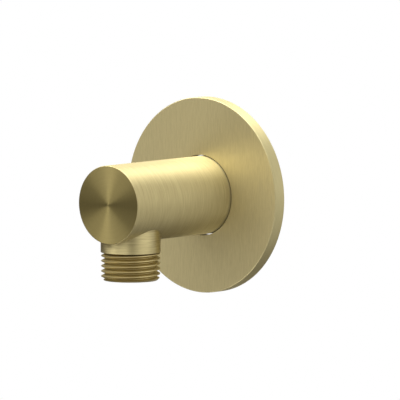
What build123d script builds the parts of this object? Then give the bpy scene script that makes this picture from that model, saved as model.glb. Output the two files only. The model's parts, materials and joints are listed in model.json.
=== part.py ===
from build123d import *
import math
import os

# Wall outlet elbow for a shower hose: a round barrel slid on a wall connector, a flange at the wall
# and a threaded outlet nipple hanging from the barrel. Lengths are in millimetres.
# The origin is on the barrel's axis in the plane of the wall, +Y goes into the wall and +Z is up.

# Wall flange
FLANGE_DIAMETER = 70.0
FLANGE_THICKNESS = 5.0
FLANGE_EDGE_BREAK = 0.3
FLANGE_LAND = 3.0
FLANGE_CLEARANCE = 0.4

# Foam seal in the back of the flange
SEAL_THICKNESS = 1.0
SEAL_INNER_DIAMETER = 41.0
SEAL_EDGE_GAP = 0.5

# Barrel
BARREL_DIAMETER = 28.0
BARREL_REACH = 55.0
BARREL_EDGE_BREAK = 0.3
BARREL_WALL_GAP = 1.0
BARREL_MOUTH_CHAMFER = 0.8
WATERWAY_DIAMETER = 11.0
DRILL_POINT_ANGLE = 118.0

# Pipe thread of the inlet and the outlet, as its plain outside cylinder
PIPE_THREAD_DIAMETER = 20.955
PIPE_THREAD_CHAMFER = 1.0
BORE_CHAMFER = 0.5

# Outlet nipple
OUTLET_SETBACK = 12.0
OUTLET_THREAD_LENGTH = 10.0
OUTLET_BORE_DIAMETER = 12.0
NECK_DIAMETER = 21.3
NECK_DROP = 17.5
NIPPLE_SEAT_DEPTH = 0.6
NIPPLE_STUB_DIAMETER = 17.0
NIPPLE_STUB_LENGTH = 4.5
NIPPLE_CLEARANCE = 0.03

# Inlet connector
TAIL_LENGTH = 15.0
SPIGOT_DIAMETER = 20.0
SPIGOT_CLEARANCE = 0.05
SPIGOT_NOSE = 3.5
SPIGOT_NOSE_CHAMFER = 0.6
SPIGOT_END_GAP = 1.0
KEY_SOCKET_WIDTH = 12.0
KEY_SOCKET_DEPTH = 8.0

# O-rings of the connector
RING_GROOVE_WIDTH = 2.7
RING_GROOVE_DEPTH = 1.6
RING_WIDTH = 2.3
RING_CORNER = 0.55
RING_CLEARANCE = 0.02
RING_SPACING = 4.5
RING_TO_SCREW = 4.5

# Set screw under the barrel and its groove in the connector
SCREW_DIAMETER = 5.0
SCREW_FROM_FLANGE = 4.5
SCREW_SUNK = 0.4
SCREW_CLEARANCE = 0.03
SCREW_TIP_DIAMETER = 1.0
SCREW_SOCKET_WIDTH = 2.5
SCREW_SOCKET_DEPTH = 2.2
SCREW_GROOVE_DEPTH = 1.2
SCREW_GROOVE_FLOOR = 1.6
SCREW_SEAT_GAP = 0.02

# Places along the barrel's axis, counted from the wall
outlet_y = OUTLET_SETBACK - BARREL_REACH
screw_y = -(FLANGE_THICKNESS + SCREW_FROM_FLANGE)
rear_ring_y = screw_y - RING_TO_SCREW
front_ring_y = rear_ring_y - RING_SPACING
spigot_end_y = front_ring_y - SPIGOT_NOSE
barrel_bore_end_y = spigot_end_y - SPIGOT_END_GAP

# Radii and heights that several pieces share
barrel_radius = BARREL_DIAMETER / 2
waterway_radius = WATERWAY_DIAMETER / 2
spigot_radius = SPIGOT_DIAMETER / 2
neck_radius = NECK_DIAMETER / 2
thread_radius = PIPE_THREAD_DIAMETER / 2
stub_radius = NIPPLE_STUB_DIAMETER / 2
screw_radius = SCREW_DIAMETER / 2
recess_radius = FLANGE_DIAMETER / 2 - FLANGE_LAND
barrel_bore_radius = spigot_radius + SPIGOT_CLEARANCE
screw_floor_radius = spigot_radius - SCREW_GROOVE_DEPTH
nipple_seat_z = NIPPLE_SEAT_DEPTH - math.sqrt(barrel_radius**2 - neck_radius**2)


def turned_about_y(profile):
    """Solid turned about the barrel's axis from (radius, y) points."""
    return revolve(make_face(Polyline(*profile, close=True)), Axis.Y)


def turned_about_z(profile, y):
    """Solid turned about an upright axis at y from (radius, z) points."""
    half_section = Plane.XZ * make_face(Polyline(*profile, close=True))
    return Pos(0, y, 0) * revolve(half_section, Axis.Z)


def hex_hole(place, width, depth):
    """Hexagonal prism of the given width across flats, going in along the place's normal."""
    outline = place * RegularPolygon(width / 2, 6, major_radius=False)
    return extrude(outline, depth, dir=place.z_dir)


def wall_flange():
    """Turned disc with a clearance hole for the barrel and a shallow recess for its seal."""
    outer = FLANGE_DIAMETER / 2
    hole = barrel_radius + FLANGE_CLEARANCE
    profile = [
        (hole, -FLANGE_THICKNESS),
        (outer - FLANGE_EDGE_BREAK, -FLANGE_THICKNESS),
        (outer, FLANGE_EDGE_BREAK - FLANGE_THICKNESS),
        (outer, -FLANGE_EDGE_BREAK),
        (outer - FLANGE_EDGE_BREAK, 0),
        (recess_radius, 0),
        (recess_radius, -SEAL_THICKNESS),
        (hole, -SEAL_THICKNESS),
    ]
    return turned_about_y(profile)


def flange_seal():
    """Flat foam ring that sticks the flange to the wall."""
    inner = SEAL_INNER_DIAMETER / 2
    outer = recess_radius - SEAL_EDGE_GAP
    profile = [(inner, -SEAL_THICKNESS), (outer, -SEAL_THICKNESS), (outer, 0), (inner, 0)]
    return turned_about_y(profile)


def barrel():
    """Bar bored from the back, with a cross hole for the nipple and a tapped hole for the set screw."""
    point_depth = waterway_radius / math.tan(math.radians(DRILL_POINT_ANGLE / 2))
    profile = [
        (barrel_bore_radius + BARREL_MOUTH_CHAMFER, -BARREL_WALL_GAP),
        (barrel_radius, -BARREL_WALL_GAP),
        (barrel_radius, BARREL_EDGE_BREAK - BARREL_REACH),
        (barrel_radius - BARREL_EDGE_BREAK, -BARREL_REACH),
        (0, -BARREL_REACH),
        (0, outlet_y - point_depth),
        (waterway_radius, outlet_y),
        (waterway_radius, barrel_bore_end_y),
        (barrel_bore_radius, barrel_bore_end_y),
        (barrel_bore_radius, -BARREL_WALL_GAP - BARREL_MOUTH_CHAMFER),
    ]
    seat_hole = [
        (0, -2 * barrel_radius),
        (neck_radius + NIPPLE_CLEARANCE, -2 * barrel_radius),
        (neck_radius + NIPPLE_CLEARANCE, nipple_seat_z),
        (stub_radius + NIPPLE_CLEARANCE, nipple_seat_z),
        (stub_radius + NIPPLE_CLEARANCE, 0),
        (0, 0),
    ]
    screw_hole = [
        (0, -2 * barrel_radius),
        (screw_radius + SCREW_CLEARANCE, -2 * barrel_radius),
        (screw_radius + SCREW_CLEARANCE, 0),
        (0, 0),
    ]
    body = turned_about_y(profile)
    body -= turned_about_z(seat_hole, outlet_y)
    body -= turned_about_z(screw_hole, screw_y)
    return body


def outlet_nipple():
    """Turned nipple: thread at the bottom, neck, and a stub that is screwed into the barrel."""
    bore = OUTLET_BORE_DIAMETER / 2
    end_z = -NECK_DROP - OUTLET_THREAD_LENGTH
    top_z = nipple_seat_z + NIPPLE_STUB_LENGTH
    profile = [
        (bore + BORE_CHAMFER, end_z),
        (thread_radius - PIPE_THREAD_CHAMFER, end_z),
        (thread_radius, end_z + PIPE_THREAD_CHAMFER),
        (thread_radius, -NECK_DROP),
        (neck_radius, -NECK_DROP),
        (neck_radius, nipple_seat_z),
        (stub_radius, nipple_seat_z),
        (stub_radius, top_z),
        (bore, top_z),
        (bore, end_z + BORE_CHAMFER),
    ]
    return turned_about_z(profile, outlet_y)


def ring_groove(y):
    """Square groove of an O-ring in the connector's spigot."""
    floor = spigot_radius - RING_GROOVE_DEPTH
    low = y - RING_GROOVE_WIDTH / 2
    high = y + RING_GROOVE_WIDTH / 2
    profile = [(floor, low), (2 * spigot_radius, low), (2 * spigot_radius, high), (floor, high)]
    return turned_about_y(profile)


def screw_groove():
    """Groove with sloping sides that the set screw's point holds on to."""
    half_floor = SCREW_GROOVE_FLOOR / 2
    half_top = half_floor + 2 * SCREW_GROOVE_DEPTH
    top = screw_floor_radius + 2 * SCREW_GROOVE_DEPTH
    profile = [
        (screw_floor_radius, screw_y - half_floor),
        (top, screw_y - half_top),
        (top, screw_y + half_top),
        (screw_floor_radius, screw_y + half_floor),
    ]
    return turned_about_y(profile)


def inlet_connector():
    """Wall nipple: threaded tail in the wall, spigot with grooves in the barrel, key socket in its nose."""
    profile = [
        (waterway_radius, spigot_end_y),
        (spigot_radius - SPIGOT_NOSE_CHAMFER, spigot_end_y),
        (spigot_radius, spigot_end_y + SPIGOT_NOSE_CHAMFER),
        (spigot_radius, 0),
        (thread_radius, 0),
        (thread_radius, TAIL_LENGTH - PIPE_THREAD_CHAMFER),
        (thread_radius - PIPE_THREAD_CHAMFER, TAIL_LENGTH),
        (waterway_radius + BORE_CHAMFER, TAIL_LENGTH),
        (waterway_radius, TAIL_LENGTH - BORE_CHAMFER),
    ]
    nose = Plane(origin=(0, spigot_end_y, 0), x_dir=(1, 0, 0), z_dir=(0, 1, 0))
    body = turned_about_y(profile)
    body -= ring_groove(front_ring_y)
    body -= ring_groove(rear_ring_y)
    body -= screw_groove()
    body -= hex_hole(nose, KEY_SOCKET_WIDTH, KEY_SOCKET_DEPTH)
    return body


def o_ring(y):
    """O-ring as it lies squeezed between its groove and the barrel's bore."""
    low = spigot_radius - RING_GROOVE_DEPTH + RING_CLEARANCE
    high = barrel_bore_radius - RING_CLEARANCE
    section = chamfer(Rectangle(high - low, RING_WIDTH).vertices(), RING_CORNER)
    return revolve(Pos((low + high) / 2, y) * section, Axis.Y)


def set_screw():
    """Headless screw with a cone point above and a hexagonal socket below."""
    body_radius = screw_radius - SCREW_CLEARANCE
    tip_radius = SCREW_TIP_DIAMETER / 2
    top_z = -screw_floor_radius - SCREW_SEAT_GAP
    low_z = SCREW_SUNK - barrel_radius
    profile = [
        (0, low_z),
        (body_radius, low_z),
        (body_radius, top_z - (body_radius - tip_radius)),
        (tip_radius, top_z),
        (0, top_z),
    ]
    mouth = Plane(origin=(0, screw_y, low_z), x_dir=(1, 0, 0), z_dir=(0, 0, 1))
    return turned_about_z(profile, screw_y) - hex_hole(mouth, SCREW_SOCKET_WIDTH, SCREW_SOCKET_DEPTH)


PIECES = {
    "wall_flange": wall_flange(),
    "flange_seal": flange_seal(),
    "barrel": barrel(),
    "outlet_nipple": outlet_nipple(),
    "inlet_connector": inlet_connector(),
    "front_o_ring": o_ring(front_ring_y),
    "rear_o_ring": o_ring(rear_ring_y),
    "set_screw": set_screw(),
}

os.makedirs("parts", exist_ok=True)
for name, piece in PIECES.items():
    export_step(piece, f"parts/{name}.step")
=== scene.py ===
import json
import math
import bpy
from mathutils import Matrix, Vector


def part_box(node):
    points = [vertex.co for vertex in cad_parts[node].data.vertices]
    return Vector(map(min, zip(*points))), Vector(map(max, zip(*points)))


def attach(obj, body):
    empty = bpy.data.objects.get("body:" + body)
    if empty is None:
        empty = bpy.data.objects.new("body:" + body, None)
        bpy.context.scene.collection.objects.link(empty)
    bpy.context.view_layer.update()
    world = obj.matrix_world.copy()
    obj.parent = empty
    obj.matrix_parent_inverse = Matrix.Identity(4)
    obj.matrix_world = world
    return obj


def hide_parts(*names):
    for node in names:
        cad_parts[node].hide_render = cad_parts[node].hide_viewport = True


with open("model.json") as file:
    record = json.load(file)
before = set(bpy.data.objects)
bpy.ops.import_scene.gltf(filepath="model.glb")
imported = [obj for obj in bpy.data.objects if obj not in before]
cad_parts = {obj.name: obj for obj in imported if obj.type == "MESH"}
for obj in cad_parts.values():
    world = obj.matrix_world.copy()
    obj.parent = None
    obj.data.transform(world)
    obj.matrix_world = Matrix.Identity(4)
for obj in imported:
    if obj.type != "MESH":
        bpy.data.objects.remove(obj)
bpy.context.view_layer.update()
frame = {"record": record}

# Inlet connector: the brass nipple that is screwed into the fitting in the wall with a hexagon key.
# It is turned from bar: a pipe thread on its tail, two grooves for O-rings on its spigot, and one with
# sloping sides for the set screw. Like all pieces it is shaped in millimetres and brought to metres.
MM = 0.001
TURN_STEPS = 192
MERGE_WITHIN = 0.001
ALONG = {"Y": Vector((0, 1, 0)), "Z": Vector((0, 0, 1))}


def traced(name, outline, axis, y):
    """Chain of edges through (radius, place along the axis) points, beside an axis through (0, y, 0)."""
    path = [Vector((radius, y, 0)) + place * ALONG[axis] for radius, place in outline]
    bpy.ops.object.select_all(action="DESELECT")
    bpy.ops.mesh.primitive_plane_add(size=1.0, location=path[0])
    piece = bpy.context.object
    piece.name = name
    bpy.ops.object.mode_set(mode="EDIT")
    bpy.ops.mesh.merge(type="CENTER")
    for here, there in zip(path, path[1:]):
        bpy.ops.mesh.extrude_vertices_move(TRANSFORM_OT_translate={"value": there - here})
    bpy.ops.mesh.select_all(action="SELECT")
    bpy.ops.mesh.remove_doubles(threshold=MERGE_WITHIN)
    bpy.ops.object.mode_set(mode="OBJECT")
    bpy.ops.object.transform_apply(location=True, rotation=False, scale=False)
    return piece


def turned(name, outline, axis="Y", y=0.0):
    """Closed shell turned from (radius, place along the axis) points about an axis through (0, y, 0)."""
    piece = traced(name, outline, axis, y)
    bpy.ops.object.mode_set(mode="EDIT")
    bpy.ops.mesh.select_all(action="SELECT")
    bpy.ops.mesh.spin(steps=TURN_STEPS, angle=math.tau, center=(0, y, 0), axis=ALONG[axis])
    bpy.ops.mesh.select_all(action="SELECT")
    bpy.ops.mesh.remove_doubles(threshold=MERGE_WITHIN)
    bpy.ops.mesh.normals_make_consistent(inside=False)
    bpy.ops.object.mode_set(mode="OBJECT")
    return piece


def apply_modifier(piece, kind, **settings):
    """Adds a modifier with these settings to the piece and applies it."""
    modifier = piece.modifiers.new(kind.lower(), kind)
    for setting, value in settings.items():
        setattr(modifier, setting, value)
    bpy.ops.object.select_all(action="DESELECT")
    bpy.context.view_layer.objects.active = piece
    bpy.ops.object.modifier_apply(modifier=modifier.name)


def combine(piece, other, operation):
    """Takes the other form out of the piece, or keeps only what both share, and deletes the other."""
    apply_modifier(piece, "BOOLEAN", operation=operation, solver="EXACT", object=other)
    bpy.data.objects.remove(other)


def key_cutter(width, depth, mouth, turn):
    """Hexagonal bar, width across its flats, which reaches depth to both sides of a socket's mouth."""
    bpy.ops.object.select_all(action="DESELECT")
    corner_radius = width / 2 / math.cos(math.pi / 6)
    bpy.ops.mesh.primitive_cylinder_add(
        vertices=6, radius=corner_radius, depth=2 * depth, location=mouth, rotation=turn
    )
    bpy.ops.object.transform_apply(location=True, rotation=True, scale=False)
    return bpy.context.object


# Half-inch parallel pipe thread, with 14 turns to the inch and 55 degrees between its flanks. Its grooves
# are cut a little deeper than standard, so that they look as dark as they should.
THREAD_PITCH = 1.814
THREAD_DEPTH = 1.35
THREAD_ROOT = 0.1
THREAD_FLANK = math.radians(27.5)
THREAD_STEPS = 125
THREAD_PROUD = 0.1
THREAD_SHOULDER_GAP = 0.02


def thread_cutter(crest_radius, axis, y, first_root, turns, start, shoulder, side):
    """Right-hand helical groove of the pipe thread, which ends at a shoulder and lies to one side of it."""
    half_root = THREAD_ROOT / 2
    half_top = half_root + (THREAD_DEPTH + THREAD_PROUD) * math.tan(THREAD_FLANK)
    root_radius = crest_radius - THREAD_DEPTH
    top_radius = crest_radius + THREAD_PROUD
    groove = traced("thread_groove", [
        (root_radius, first_root - half_root),
        (root_radius, first_root + half_root),
        (top_radius, first_root + half_top),
        (top_radius, first_root - half_top),
        (root_radius, first_root - half_root),
    ], axis, 0)
    apply_modifier(
        groove, "SCREW", axis=axis, screw_offset=THREAD_PITCH, iterations=turns,
        steps=THREAD_STEPS, render_steps=THREAD_STEPS,
    )
    groove.location = (0, y, 0)
    groove.rotation_euler = start * ALONG[axis]
    groove.select_set(True)
    bpy.ops.object.transform_apply(location=True, rotation=True, scale=False)
    bpy.ops.object.mode_set(mode="EDIT")
    bpy.ops.mesh.select_all(action="SELECT")
    bpy.ops.mesh.fill_holes(sides=0)
    bpy.ops.mesh.select_all(action="SELECT")
    bpy.ops.mesh.quads_convert_to_tris()
    bpy.ops.mesh.normals_make_consistent(inside=False)
    bpy.ops.object.mode_set(mode="OBJECT")
    # A cube far larger than the piece keeps the groove on its own side of the shoulder.
    zone_size = 6 * crest_radius
    zone_end = shoulder + side * THREAD_SHOULDER_GAP
    bpy.ops.object.select_all(action="DESELECT")
    bpy.ops.mesh.primitive_cube_add(
        size=zone_size, location=Vector((0, y, 0)) + (zone_end + side * zone_size / 2) * ALONG[axis]
    )
    zone = bpy.context.object
    bpy.ops.object.transform_apply(location=True, rotation=False, scale=False)
    combine(groove, zone, "INTERSECT")
    return groove


SMOOTH_BELOW = math.radians(35)


def finish_shape(piece):
    """Brings the piece to metres, smooths its round faces, and keeps corners sharp and flat faces flat."""
    bpy.ops.object.select_all(action="DESELECT")
    piece.select_set(True)
    bpy.context.view_layer.objects.active = piece
    piece.scale = (MM, MM, MM)
    bpy.ops.object.transform_apply(location=False, rotation=False, scale=True)
    bpy.ops.object.shade_smooth_by_angle(angle=SMOOTH_BELOW)
    apply_modifier(piece, "WEIGHTED_NORMAL", keep_sharp=True)


def box_mm(node):
    """Lowest and highest corner of a node of the frame, in millimetres."""
    return [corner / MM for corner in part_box(node)]


SPIGOT_RADIUS = 10.0
SPIGOT_NOSE_CHAMFER = 0.6
RING_GROOVE_FLOOR = 8.4
RING_GROOVE_HALF_WIDTH = 1.35
SCREW_GROOVE_FLOOR = 8.8
SCREW_GROOVE_HALF_FLOOR = 0.8
KEY_SOCKET_WIDTH = 12.0
KEY_SOCKET_DEPTH = 8.0
THREAD_END_CHAMFER = 1.0
BORE_CHAMFER = 0.5
INLET_THREAD_START = math.radians(40)
INLET_THREAD_TURNS = 11
RING_NODES = ("front_o_ring", "rear_o_ring")
mounts = {mount["name"]: mount for mount in frame["record"]["mounts"]}
inlet_thread = mounts["inlet_thread"]["dims"]["r_mm"]
inlet_bore = mounts["inlet_waterway"]["dims"]["r_mm"]
connector_nose = box_mm("inlet_connector")[0].y
connector_tail = box_mm("inlet_connector")[1].y
screw_low, screw_high = box_mm("set_screw")
screw_y = (screw_low.y + screw_high.y) / 2
connector_outline = [
    (inlet_bore, connector_nose),
    (SPIGOT_RADIUS - SPIGOT_NOSE_CHAMFER, connector_nose),
    (SPIGOT_RADIUS, connector_nose + SPIGOT_NOSE_CHAMFER),
]
for ring_node in RING_NODES:
    ring_y = sum(corner.y for corner in box_mm(ring_node)) / 2
    connector_outline += [
        (SPIGOT_RADIUS, ring_y - RING_GROOVE_HALF_WIDTH),
        (RING_GROOVE_FLOOR, ring_y - RING_GROOVE_HALF_WIDTH),
        (RING_GROOVE_FLOOR, ring_y + RING_GROOVE_HALF_WIDTH),
        (SPIGOT_RADIUS, ring_y + RING_GROOVE_HALF_WIDTH),
    ]
screw_groove_half_top = SCREW_GROOVE_HALF_FLOOR + SPIGOT_RADIUS - SCREW_GROOVE_FLOOR
connector_outline += [
    (SPIGOT_RADIUS, screw_y - screw_groove_half_top),
    (SCREW_GROOVE_FLOOR, screw_y - SCREW_GROOVE_HALF_FLOOR),
    (SCREW_GROOVE_FLOOR, screw_y + SCREW_GROOVE_HALF_FLOOR),
    (SPIGOT_RADIUS, screw_y + screw_groove_half_top),
    (SPIGOT_RADIUS, 0),
    (inlet_thread, 0),
    (inlet_thread, connector_tail - THREAD_END_CHAMFER),
    (inlet_thread - THREAD_END_CHAMFER, connector_tail),
    (inlet_bore + BORE_CHAMFER, connector_tail),
    (inlet_bore, connector_tail - BORE_CHAMFER),
    (inlet_bore, connector_nose),
]
connector = turned("inlet_connector_turned", connector_outline)
inlet_groove = thread_cutter(
    inlet_thread, "Y", y=0, first_root=-THREAD_PITCH, turns=INLET_THREAD_TURNS,
    start=INLET_THREAD_START, shoulder=0, side=1,
)
key = key_cutter(KEY_SOCKET_WIDTH, KEY_SOCKET_DEPTH, (0, connector_nose, 0), (math.pi / 2, 0, 0))
combine(connector, inlet_groove, "DIFFERENCE")
combine(connector, key, "DIFFERENCE")
finish_shape(connector)


def linear(hex_colour):
    """Linear colour of an sRGB hex value."""
    parts = [int(hex_colour[place:place + 2], 16) / 255 for place in (1, 3, 5)]
    return [p / 12.92 if p <= 0.04045 else ((p + 0.055) / 1.055) ** 2.4 for p in parts] + [1.0]


def add(tree, kind, inputs=None, **settings):
    """Adds a node to the tree with its settings, and fills its inputs with values or links."""
    node = tree.nodes.new(kind)
    for setting, value in settings.items():
        setattr(node, setting, value)
    for key, value in (inputs or {}).items():
        if isinstance(value, bpy.types.NodeSocket):
            tree.links.new(value, node.inputs[key])
        else:
            node.inputs[key].default_value = value
    return node


def new_material(name):
    """New material with its node tree and its surface shader."""
    material = bpy.data.materials.new(name)
    material.use_nodes = True
    return material, material.node_tree, material.node_tree.nodes["Principled BSDF"]


# The sockets of a colour mix go by number, because its names stand for several kinds of value.
MIX_FACTOR, MIX_FIRST, MIX_SECOND, MIX_RESULT = 0, 6, 7, 2
MARK_NOISE_LOW = 0.3
MARK_NOISE_HIGH = 0.7
MARK_POLISH = 0.03


def marked_brass(name, light, dark, mark_mm, roughness, anisotropy, spread, relief_mm):
    """Brass with brush or tool marks of mark_mm size along X, Y and Z, which spread the light one way.

    With an outward spread the marks are rings about the Y axis, mark_mm[0] wide.
    """
    material, tree, shader = new_material(name)
    coordinates = add(tree, "ShaderNodeTexCoord")
    place = coordinates.outputs["Object"]
    if spread == "outward":
        parts = add(tree, "ShaderNodeSeparateXYZ", {0: place})
        across = add(tree, "ShaderNodeCombineXYZ", {0: parts.outputs[0], 2: parts.outputs[2]})
        radius = add(tree, "ShaderNodeVectorMath", {0: across.outputs[0]}, operation="LENGTH")
        place = add(tree, "ShaderNodeCombineXYZ", {0: radius.outputs["Value"]}).outputs[0]
    else:
        across = add(tree, "ShaderNodeCombineXYZ", spread)
    stretched = add(tree, "ShaderNodeMapping", {
        "Vector": place, "Scale": [1 / (size * MM) for size in mark_mm],
    })
    marks = add(tree, "ShaderNodeTexNoise", {
        "Vector": stretched.outputs["Vector"], "Scale": 1.0, "Detail": 4.0, "Roughness": 0.6,
    })
    tone = add(tree, "ShaderNodeMapRange", {
        "Value": marks.outputs["Fac"], "From Min": MARK_NOISE_LOW, "From Max": MARK_NOISE_HIGH,
    })
    colour = add(tree, "ShaderNodeMix", {
        MIX_FACTOR: tone.outputs["Result"], MIX_FIRST: linear(dark), MIX_SECOND: linear(light),
    }, data_type="RGBA")
    polish = add(tree, "ShaderNodeMapRange", {
        "Value": tone.outputs["Result"],
        "To Min": roughness + MARK_POLISH,
        "To Max": roughness - MARK_POLISH,
    })
    relief = add(tree, "ShaderNodeBump", {
        "Height": marks.outputs["Fac"], "Strength": 1.0, "Distance": relief_mm * MM,
    })
    tree.links.new(colour.outputs[MIX_RESULT], shader.inputs["Base Color"])
    tree.links.new(polish.outputs["Result"], shader.inputs["Roughness"])
    tree.links.new(relief.outputs["Normal"], shader.inputs["Normal"])
    # A tangent counts only where it is linked, even if it is the same all over.
    tree.links.new(across.outputs["Vector"], shader.inputs["Tangent"])
    shader.inputs["Metallic"].default_value = 1.0
    shader.inputs["Anisotropic"].default_value = anisotropy
    return material


def paint(piece, material, chosen=None):
    """Gives the material to the faces that the test picks by their middle and normal, or to all."""
    place = len(piece.data.materials)
    piece.data.materials.append(material)
    for face in piece.data.polygons:
        if chosen is None or chosen(face.center, face.normal):
            face.material_index = place


# Plain turned brass: warm yellow and fairly bright, with tool rings that spread the light along the
# axis. As on the other brass, the marks are drawn coarser than real ones, so that they show.
ACROSS_Y_RINGS = {1: 1.0}
paint(connector, marked_brass(
    "turned_brass", "#C2A868", "#A98F52", mark_mm=(6, 0.3, 6), roughness=0.3,
    anisotropy=0.5, spread=ACROSS_Y_RINGS, relief_mm=0.004,
))
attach(connector, "root")
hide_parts("inlet_connector")

# O-rings: two moulded rubber rings on the spigot, squeezed between their grooves and the barrel's bore.
# They keep the water in and let the barrel turn on the connector while it is lined up.
RING_SECTION_POINTS = 24
RING_FLOOR_GAP = 0.02

# Moulded rubber: black, with a dull sheen that varies a little. Its grain is drawn 0.4 mm wide, coarser
# than real, so that it shows.
RUBBER_GRAIN = 0.4
rubber, rubber_tree, rubber_shader = new_material("moulded_rubber")
rubber_coordinates = add(rubber_tree, "ShaderNodeTexCoord")
rubber_grain = add(rubber_tree, "ShaderNodeTexNoise", {
    "Vector": rubber_coordinates.outputs["Object"], "Scale": 1 / (RUBBER_GRAIN * MM), "Detail": 3.0,
})
rubber_tone = add(rubber_tree, "ShaderNodeMix", {
    MIX_FACTOR: rubber_grain.outputs["Fac"], MIX_FIRST: linear("#161616"), MIX_SECOND: linear("#242424"),
}, data_type="RGBA")
rubber_sheen = add(rubber_tree, "ShaderNodeMapRange", {
    "Value": rubber_grain.outputs["Fac"], "To Min": 0.35, "To Max": 0.6,
})
rubber_tree.links.new(rubber_tone.outputs[MIX_RESULT], rubber_shader.inputs["Base Color"])
rubber_tree.links.new(rubber_sheen.outputs["Result"], rubber_shader.inputs["Roughness"])
for ring_node in RING_NODES:
    ring_low, ring_high = box_mm(ring_node)
    ring_inner = RING_GROOVE_FLOOR + RING_FLOOR_GAP
    ring_outline = []
    for point in range(RING_SECTION_POINTS + 1):
        turn = math.tau * point / RING_SECTION_POINTS
        ring_outline.append((
            (ring_high.x + ring_inner) / 2 + (ring_high.x - ring_inner) / 2 * math.cos(turn),
            (ring_high.y + ring_low.y) / 2 + (ring_high.y - ring_low.y) / 2 * math.sin(turn),
        ))
    ring = turned(ring_node + "_moulded", ring_outline)
    finish_shape(ring)
    paint(ring, rubber)
    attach(ring, "root")
    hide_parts(ring_node)

# Flange seal: a flat ring of black closed-cell foam, stuck in the recess at the back of the flange.
# It holds the flange to the wall and keeps splashes out of the hole.
SEAL_INNER_RADIUS = 20.5
SEAL_EDGE_ROUND = 0.2
EDGE_STEPS = 3
seal_low, seal_high = box_mm("flange_seal")
seal = turned("flange_seal_foam", [
    (SEAL_INNER_RADIUS, seal_low.y),
    (seal_high.x, seal_low.y),
    (seal_high.x, seal_high.y),
    (SEAL_INNER_RADIUS, seal_high.y),
    (SEAL_INNER_RADIUS, seal_low.y),
])
apply_modifier(seal, "BEVEL", width=SEAL_EDGE_ROUND, segments=EDGE_STEPS, limit_method="ANGLE")
finish_shape(seal)

# Closed-cell foam: charcoal and quite matt, pitted with shallow cells. The cells are drawn 0.5 mm wide,
# coarser than real, so that they show.
FOAM_CELL = 0.5
FOAM_CELL_DEPTH = 0.1
foam, foam_tree, foam_shader = new_material("closed_cell_foam")
foam_coordinates = add(foam_tree, "ShaderNodeTexCoord")
foam_cells = add(foam_tree, "ShaderNodeTexVoronoi", {
    "Vector": foam_coordinates.outputs["Object"], "Scale": 1 / (FOAM_CELL * MM),
})
foam_tone = add(foam_tree, "ShaderNodeMix", {
    MIX_FACTOR: foam_cells.outputs["Distance"], MIX_FIRST: linear("#3A3A3A"), MIX_SECOND: linear("#1E1E1E"),
}, data_type="RGBA")
foam_relief = add(foam_tree, "ShaderNodeBump", {
    "Height": foam_cells.outputs["Distance"], "Strength": 0.6, "Distance": FOAM_CELL_DEPTH * MM,
})
foam_tree.links.new(foam_tone.outputs[MIX_RESULT], foam_shader.inputs["Base Color"])
foam_tree.links.new(foam_relief.outputs["Normal"], foam_shader.inputs["Normal"])
foam_shader.inputs["Roughness"].default_value = 0.85
paint(seal, foam)
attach(seal, "root")
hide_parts("flange_seal")

# Wall flange: a turned brass disc that covers the hole in the wall. The barrel goes through it with
# a narrow gap. Its rim is turned and its face is brushed in upright strokes.
FLANGE_EDGE_BREAK = 0.3
FLANGE_HOLE_RADIUS = 14.4
FLANGE_RECESS_RADIUS = 32.0
flange_low, flange_high = box_mm("wall_flange")
flange = turned("wall_flange_turned", [
    (0, flange_low.y),
    (flange_high.x, flange_low.y),
    (flange_high.x, flange_high.y),
    (0, flange_high.y),
])
apply_modifier(flange, "BEVEL", width=FLANGE_EDGE_BREAK, segments=EDGE_STEPS, limit_method="ANGLE")
# The bore and the recess are cut after the outer edges are broken, so that the hole's lip stays sharp.
flange_bore = turned("flange_bore", [
    (0, 2 * flange_low.y),
    (FLANGE_HOLE_RADIUS, 2 * flange_low.y),
    (FLANGE_HOLE_RADIUS, seal_low.y),
    (FLANGE_RECESS_RADIUS, seal_low.y),
    (FLANGE_RECESS_RADIUS, -flange_low.y),
    (0, -flange_low.y),
])
combine(flange, flange_bore, "DIFFERENCE")
finish_shape(flange)

# Brushed brass: pale gold with a silky sheen. The rim's marks are rings, and the face's are strokes
# from top to bottom that spread the light sideways.
ACROSS_UPRIGHT_STROKES = {0: 1.0}
FRONT_NORMAL_Y = -0.9  # a face whose normal is below this looks to the front
paint(flange, marked_brass(
    "ring_brushed_brass", "#B8AE83", "#AEA47A", mark_mm=(6, 0.3, 6), roughness=0.48,
    anisotropy=0.85, spread=ACROSS_Y_RINGS, relief_mm=0.002,
))
paint(flange, marked_brass(
    "stroke_brushed_brass", "#CCC092", "#C0B489", mark_mm=(0.45, 3.5, 3.5), roughness=0.5,
    anisotropy=0.35, spread=ACROSS_UPRIGHT_STROKES, relief_mm=0.002,
), lambda middle, normal: normal.y < FRONT_NORMAL_Y)
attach(flange, "root")
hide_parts("wall_flange")

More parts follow.
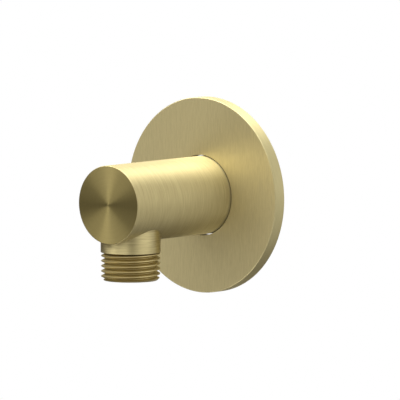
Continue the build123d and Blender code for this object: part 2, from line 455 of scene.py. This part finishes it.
# Barrel: round brass bar with a closed end, bored from the wall side to slide on the connector.
# It is brushed round its axis, its end is faced in the lathe, and two holes are drilled from below,
# one for the nipple and one for the set screw.
BARREL_EDGE_BREAK = 0.3
BARREL_BREAK_ANGLE = math.radians(70)
BARREL_BORE_RADIUS = 10.05
BARREL_BORE_END = -23.0
BARREL_MOUTH_CHAMFER = 0.8
BARREL_WATERWAY = 5.5
BARREL_DRILL_POINT = 3.3
STUB_RADIUS = 8.5
STUB_LENGTH = 4.5
NIPPLE_GAP = 0.03
SCREW_GAP = 0.06
barrel_low, barrel_high = box_mm("barrel")
nipple_low, nipple_high = box_mm("outlet_nipple")
outlet_y = (nipple_low.y + nipple_high.y) / 2
nipple_seat = nipple_high.z - STUB_LENGTH
barrel = turned("barrel_turned", [
    (0, barrel_low.y),
    (barrel_high.x, barrel_low.y),
    (barrel_high.x, barrel_high.y),
    (BARREL_BORE_RADIUS + BARREL_MOUTH_CHAMFER, barrel_high.y),
    (BARREL_BORE_RADIUS, barrel_high.y - BARREL_MOUTH_CHAMFER),
    (BARREL_BORE_RADIUS, BARREL_BORE_END),
    (BARREL_WATERWAY, BARREL_BORE_END),
    (BARREL_WATERWAY, outlet_y),
    (0, outlet_y - BARREL_DRILL_POINT),
])
apply_modifier(
    barrel, "BEVEL", width=BARREL_EDGE_BREAK, segments=EDGE_STEPS,
    limit_method="ANGLE", angle_limit=BARREL_BREAK_ANGLE,
)
nipple_hole = turned("nipple_hole", [
    (0, 2 * barrel_low.z),
    (nipple_high.x + NIPPLE_GAP, 2 * barrel_low.z),
    (nipple_high.x + NIPPLE_GAP, nipple_seat),
    (STUB_RADIUS + NIPPLE_GAP, nipple_seat),
    (STUB_RADIUS + NIPPLE_GAP, 0),
    (0, 0),
], "Z", outlet_y)
screw_hole = turned("screw_hole", [
    (0, 2 * barrel_low.z),
    (screw_high.x + SCREW_GAP, 2 * barrel_low.z),
    (screw_high.x + SCREW_GAP, 0),
    (0, 0),
], "Z", screw_y)
combine(barrel, nipple_hole, "DIFFERENCE")
combine(barrel, screw_hole, "DIFFERENCE")
finish_shape(barrel)

# Brushed brass of the side, in rings round the axis that draw the light out into a long soft band, and
# faced brass of the end, whose tool rings spread it outward from the middle in bright and dark wedges.
# The end's colours are painted darker than the side's brass, as painted shade.
paint(barrel, marked_brass(
    "ring_brushed_brass_bar", "#BAAE82", "#A69A70", mark_mm=(8, 0.35, 8), roughness=0.48,
    anisotropy=0.85, spread=ACROSS_Y_RINGS, relief_mm=0.002,
))
# The faced end's two colours hold painted shade: they are darker than the side's brass.
paint(barrel, marked_brass(
    "faced_brass_painted_shade", "#887C51", "#82764B", mark_mm=(0.4, 1, 1), roughness=0.5,
    anisotropy=0.9, spread="outward", relief_mm=0.0,
), lambda middle, normal: normal.y < FRONT_NORMAL_Y and middle.y < outlet_y * MM)
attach(barrel, "root")
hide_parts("barrel")

# Outlet nipple: turned brass, screwed up into the barrel until its neck sits in the barrel's hole.
# The hose is screwed on the pipe thread below the neck.
SHOULDER_BREAK = 0.1
OUTLET_THREAD_START = math.radians(111)
OUTLET_THREAD_TURNS = 8
outlet_thread = mounts["outlet_thread"]["dims"]["r_mm"]
outlet_bore = mounts["outlet_waterway"]["dims"]["r_mm"]
thread_middle = mounts["outlet_thread"]["pos_m"][2] / MM
shoulder_z = thread_middle + mounts["outlet_thread"]["dims"]["length_mm"] / 2
nipple = turned("outlet_nipple_turned", [
    (outlet_bore + BORE_CHAMFER, nipple_low.z),
    (outlet_thread - THREAD_END_CHAMFER, nipple_low.z),
    (outlet_thread, nipple_low.z + THREAD_END_CHAMFER),
    (outlet_thread, shoulder_z),
    (nipple_high.x - SHOULDER_BREAK, shoulder_z),
    (nipple_high.x, shoulder_z + SHOULDER_BREAK),
    (nipple_high.x, nipple_seat),
    (STUB_RADIUS, nipple_seat),
    (STUB_RADIUS, nipple_high.z),
    (outlet_bore, nipple_high.z),
    (outlet_bore, nipple_low.z + BORE_CHAMFER),
    (outlet_bore + BORE_CHAMFER, nipple_low.z),
], "Z", outlet_y)
outlet_groove = thread_cutter(
    outlet_thread, "Z", y=outlet_y, first_root=nipple_low.z - THREAD_PITCH, turns=OUTLET_THREAD_TURNS,
    start=OUTLET_THREAD_START, shoulder=shoulder_z, side=-1,
)
combine(nipple, outlet_groove, "DIFFERENCE")
finish_shape(nipple)

# Brushed brass of the neck, in rings round the upright axis that spread the light up and down, and cut
# brass of the thread, a little smoother and a touch more orange, which spreads it evenly.
ACROSS_Z_RINGS = {2: 1.0}
paint(nipple, marked_brass(
    "ring_brushed_brass_neck", "#C0B486", "#9E9269", mark_mm=(8, 8, 0.35), roughness=0.46,
    anisotropy=0.85, spread=ACROSS_Z_RINGS, relief_mm=0.002,
))
paint(nipple, marked_brass(
    "cut_brass", "#BAAC7D", "#AC9D6E", mark_mm=(3, 3, 0.2), roughness=0.4,
    anisotropy=0.0, spread=ACROSS_Z_RINGS, relief_mm=0.002,
), lambda middle, normal: middle.z < shoulder_z * MM)
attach(nipple, "root")
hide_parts("outlet_nipple")

# Set screw: a headless stainless steel screw under the barrel, close to the flange. A small hexagon
# key turns it up until its point holds in the connector's groove.
SCREW_TIP_RADIUS = 0.5
SCREW_SOCKET_WIDTH = 2.5
SCREW_SOCKET_DEPTH = 2.2
SCREW_EDGE_BREAK = 0.2
screw = turned("set_screw_turned", [
    (0, screw_low.z),
    (screw_high.x - SCREW_EDGE_BREAK, screw_low.z),
    (screw_high.x, screw_low.z + SCREW_EDGE_BREAK),
    (screw_high.x, screw_high.z - (screw_high.x - SCREW_TIP_RADIUS)),
    (SCREW_TIP_RADIUS, screw_high.z),
    (0, screw_high.z),
], "Z", screw_y)
screw_key = key_cutter(SCREW_SOCKET_WIDTH, SCREW_SOCKET_DEPTH, (0, screw_y, screw_low.z), (0, 0, 0))
combine(screw, screw_key, "DIFFERENCE")
finish_shape(screw)

# Stainless steel as machined: pale grey and bright, with tool rings. They are drawn 0.15 mm wide,
# coarser than real, so that they show.
STEEL_MARK_MM = (2, 2, 0.15)
steel, steel_tree, steel_shader = new_material("machined_stainless_steel")
steel_coordinates = add(steel_tree, "ShaderNodeTexCoord")
steel_stretched = add(steel_tree, "ShaderNodeMapping", {
    "Vector": steel_coordinates.outputs["Object"], "Scale": [1 / (size * MM) for size in STEEL_MARK_MM],
})
steel_marks = add(steel_tree, "ShaderNodeTexNoise", {
    "Vector": steel_stretched.outputs["Vector"], "Scale": 1.0, "Detail": 3.0,
})
steel_tone = add(steel_tree, "ShaderNodeMix", {
    MIX_FACTOR: steel_marks.outputs["Fac"], MIX_FIRST: linear("#A2A29E"), MIX_SECOND: linear("#C6C6C2"),
}, data_type="RGBA")
steel_polish = add(steel_tree, "ShaderNodeMapRange", {
    "Value": steel_marks.outputs["Fac"], "To Min": 0.25, "To Max": 0.4,
})
steel_tree.links.new(steel_tone.outputs[MIX_RESULT], steel_shader.inputs["Base Color"])
steel_tree.links.new(steel_polish.outputs["Result"], steel_shader.inputs["Roughness"])
steel_shader.inputs["Metallic"].default_value = 1.0
paint(screw, steel)
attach(screw, "root")
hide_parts("set_screw")

# Studio: a pale floor tile, as far below as it is under a shower, a white backdrop behind the part
# and a dim room with softboxes and white cards round it. The camera sees all of it as plain white.
bpy.context.scene.view_settings.view_transform = "Standard"
FLOOR_DROP = 1.1
FLOOR_SIZE = 0.3
bpy.ops.object.select_all(action="DESELECT")
bpy.ops.mesh.primitive_plane_add(size=FLOOR_SIZE, location=(0, 0, -FLOOR_DROP))
floor = bpy.context.object
floor.name = "studio_floor"

# Pale floor paint: off-white and matt, so that the light it throws up is soft. The camera, metal and
# glass see it as white.
floor_material, floor_tree, floor_shader = new_material("pale_floor_paint")
floor_shader.inputs["Base Color"].default_value = linear("#EAE4DA")
floor_shader.inputs["Roughness"].default_value = 0.9
floor_white = add(floor_tree, "ShaderNodeEmission", {"Strength": 1.0})
floor_path = add(floor_tree, "ShaderNodeLightPath")
floor_mirrored = add(floor_tree, "ShaderNodeMath", {
    0: floor_path.outputs["Is Glossy Ray"], 1: floor_path.outputs["Is Transmission Ray"],
}, operation="ADD")
floor_seen = add(floor_tree, "ShaderNodeMath", {
    0: floor_path.outputs["Is Camera Ray"], 1: floor_mirrored.outputs[0],
}, operation="ADD")
floor_look = add(floor_tree, "ShaderNodeMixShader", {
    0: floor_seen.outputs[0], 1: floor_shader.outputs[0], 2: floor_white.outputs[0],
})
floor_tree.links.new(floor_look.outputs[0], floor_tree.nodes["Material Output"].inputs["Surface"])
floor.data.materials.append(floor_material)

# The place of a light, or of the backdrop, is its angle from the front to the right and its angle above
# the horizon, in degrees. Then comes how narrow it is, and for a light its brightness, where white is 1.
ROOM_COLOUR = "#FFF5E3"
ROOM_BRIGHTNESS = 0.18
BACKDROP = (180, 0, 8)
LIGHTS = {
    "overhead_softbox": (180, 84, 14, 5.5),
    "key_softbox_upper_left": (-60, 45, 19, 12.5),
    "softbox_upper_right": (65, 80, 10, 3.4),
    "front_card": (4, 32, 20, 3.9),
    "low_front_card": (24, -25, 30, 1.9),
    "low_middle_card": (-10, -50, 28, 1.4),
    "low_left_card": (-30, -30, 55, 5.2),
    "wide_right_card": (105, 15, 3.3, 1.6),
    "low_right_card": (90, -40, 15, 0.6),
}
world = bpy.data.worlds.new("studio_room")
bpy.context.scene.world = world
world.use_nodes = True
room = world.node_tree
room_direction = add(room, "ShaderNodeTexCoord")


def soft_patch(azimuth, elevation, narrowness):
    """Patch of the room that is one in its middle and fades softly to zero round it."""
    turn, rise = math.radians(azimuth), math.radians(elevation)
    middle = (math.sin(turn) * math.cos(rise), -math.cos(turn) * math.cos(rise), math.sin(rise))
    nearness = add(room, "ShaderNodeVectorMath", {
        0: room_direction.outputs["Generated"], 1: middle,
    }, operation="DOT_PRODUCT")
    fading = add(room, "ShaderNodeMath", {
        0: nearness.outputs["Value"], 1: narrowness, 2: -narrowness,
    }, operation="MULTIPLY_ADD")
    return add(room, "ShaderNodeMath", {0: fading.outputs[0]}, operation="EXPONENT").outputs[0]


brightness = 0.0
for azimuth, elevation, narrowness, light_brightness in LIGHTS.values():
    brightness = add(room, "ShaderNodeMath", {
        0: soft_patch(azimuth, elevation, narrowness), 1: light_brightness, 2: brightness,
    }, operation="MULTIPLY_ADD").outputs[0]
room_lights = add(room, "ShaderNodeBackground", {"Color": linear("#FFFFFF"), "Strength": brightness})
room_walls = add(room, "ShaderNodeBackground", {"Color": linear(ROOM_COLOUR), "Strength": ROOM_BRIGHTNESS})
room_lit = add(room, "ShaderNodeAddShader", {0: room_lights.outputs[0], 1: room_walls.outputs[0]})
room_white = add(room, "ShaderNodeBackground", {"Color": linear("#FFFFFF"), "Strength": 1.0})
room_path = add(room, "ShaderNodeLightPath")
room_mirrored = add(room, "ShaderNodeMath", {
    0: room_path.outputs["Is Glossy Ray"], 1: room_path.outputs["Is Transmission Ray"],
}, operation="ADD")
# Metal and glass see white only where the backdrop stands, and the camera sees it everywhere.
backdrop_seen = add(room, "ShaderNodeMath", {
    0: soft_patch(*BACKDROP), 1: room_mirrored.outputs[0], 2: room_path.outputs["Is Camera Ray"],
}, operation="MULTIPLY_ADD")
room_look = add(room, "ShaderNodeMixShader", {
    0: backdrop_seen.outputs[0], 1: room_lit.outputs[0], 2: room_white.outputs[0],
})
room.links.new(room_look.outputs[0], room.nodes["World Output"].inputs["Surface"])

# Camera: far off with a long lens, so that there is hardly any perspective. It stands a little above
# the barrel and to the right of its axis, and aims close to the middle of the flange's face.
CAMERA_AZIMUTH = math.radians(41.18)
CAMERA_ELEVATION = math.radians(5.52)
CAMERA_DISTANCE = 3.3333
CAMERA_LENS = 839.4
AIM_LEFT = 0.43 * MM
AIM_DOWN = 1.78 * MM
to_camera = Vector((
    math.sin(CAMERA_AZIMUTH) * math.cos(CAMERA_ELEVATION),
    -math.cos(CAMERA_AZIMUTH) * math.cos(CAMERA_ELEVATION),
    math.sin(CAMERA_ELEVATION),
))
picture_right = Vector((math.cos(CAMERA_AZIMUTH), math.sin(CAMERA_AZIMUTH), 0))
picture_up = to_camera.cross(picture_right)
flange_face_centre = Vector((0, flange_low.y * MM, 0))
camera_aim = flange_face_centre - AIM_LEFT * picture_right - AIM_DOWN * picture_up
lens = bpy.data.cameras.new("long_lens")
lens.lens = CAMERA_LENS
camera = bpy.data.objects.new("camera", lens)
camera.location = camera_aim + CAMERA_DISTANCE * to_camera
camera.rotation_euler = (-to_camera).to_track_quat("-Z", "Y").to_euler()
bpy.context.scene.collection.objects.link(camera)
bpy.context.scene.camera = camera
